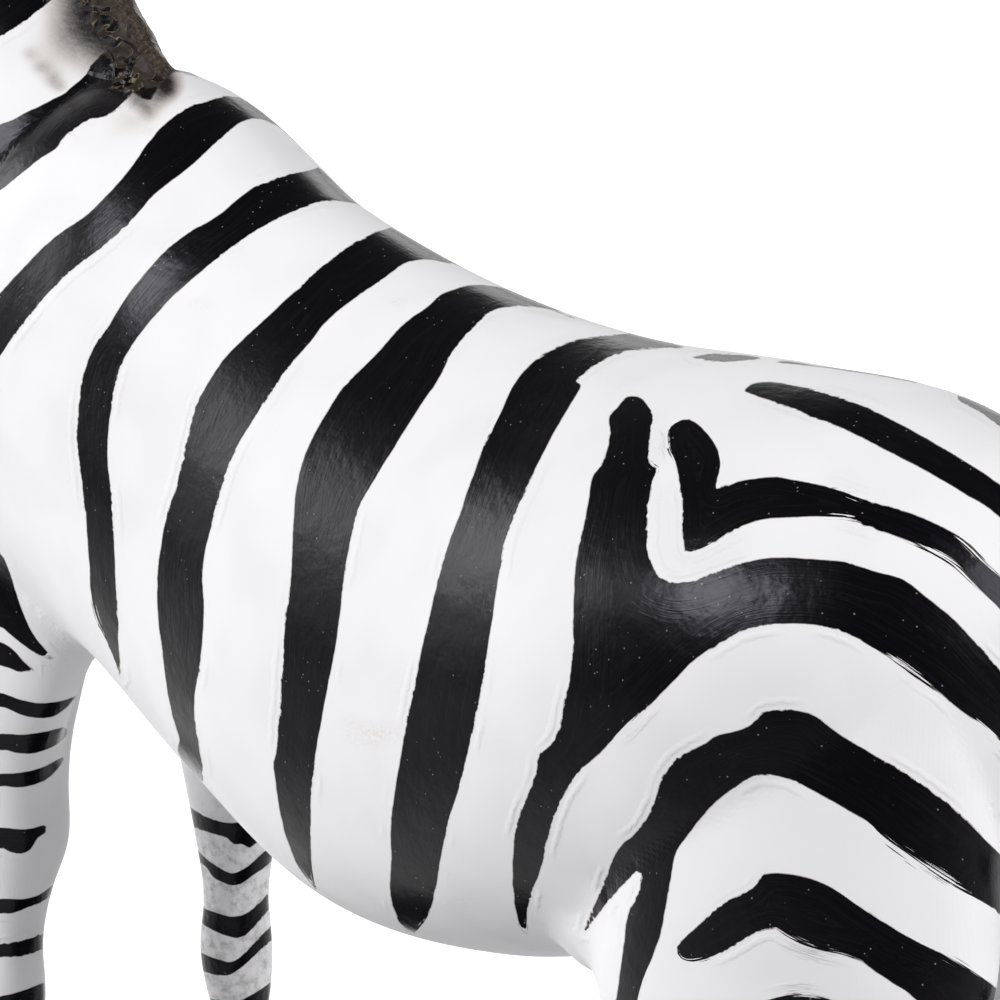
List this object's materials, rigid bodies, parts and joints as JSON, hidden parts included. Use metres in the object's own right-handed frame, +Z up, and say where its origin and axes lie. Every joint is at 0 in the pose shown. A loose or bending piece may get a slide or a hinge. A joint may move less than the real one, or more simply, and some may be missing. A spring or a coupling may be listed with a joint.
{
  "type": "zebra figurine",
  "caption": "Standing zebra figurine in cast resin, head up and facing -X, four legs down to a low oval base.",
  "frame": {"origin": "on the ground under the middle of the figurine's overall length and width", "axes": "+Z up, -X the way the head faces, +X the tail, -Y the animal's left flank"},
  "size_m": [0.3707, 0.1186, 0.3756],
  "materials": {
    "painted_resin": "satin white hand paint with semi-gloss black brushed stripes",
    "black_lacquer": "satin black paint"
  },
  "bodies": {
    "root": {"zebra": "painted_resin", "base": "black_lacquer"}
  },
  "joints": []
}
